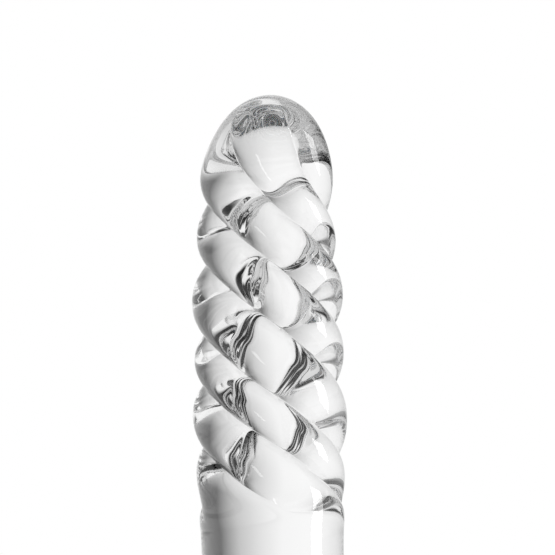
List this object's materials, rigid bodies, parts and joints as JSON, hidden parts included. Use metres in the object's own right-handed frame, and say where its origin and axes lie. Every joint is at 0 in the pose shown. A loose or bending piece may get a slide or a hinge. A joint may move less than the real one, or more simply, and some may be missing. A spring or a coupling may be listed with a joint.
{
  "type": "glass dip pen",
  "caption": "Clear glass dip pen with a rope-twisted crown, smooth barrel, waisted grip, steel ferrule and a fluted spiral nib that pulls out.",
  "frame": {"origin": "on the pen's axis, in the middle of the finger grip, where the pen is held", "axes": "+Z along the pen's axis from the nib to the crown, +Y away from the front, +X to the right"},
  "size_m": [0.0112, 0.0112, 0.175],
  "materials": {
    "clear_glass": "fire-polished, clear and colourless",
    "polished_steel": "polished stainless steel with fine turning marks",
    "black_rubber": "matt",
    "milky_silicone": "translucent, matt"
  },
  "bodies": {
    "handle": {"cane_thick": "clear_glass", "cane_thin": "clear_glass", "cane_even": "clear_glass", "cane_low": "clear_glass", "crown_button": "clear_glass", "barrel": "clear_glass", "finger_grip": "clear_glass", "ferrule": "polished_steel", "cushion_disc": "milky_silicone"},
    "nib": {"nib": "clear_glass", "o_ring_upper": "black_rubber", "o_ring_lower": "black_rubber"}
  },
  "joints": [
    {"name": "nib_pull", "type": "slide", "parent": "handle", "child": "nib", "axis": [0, 0, -1], "range_m": [0, 0.0075]}
  ]
}
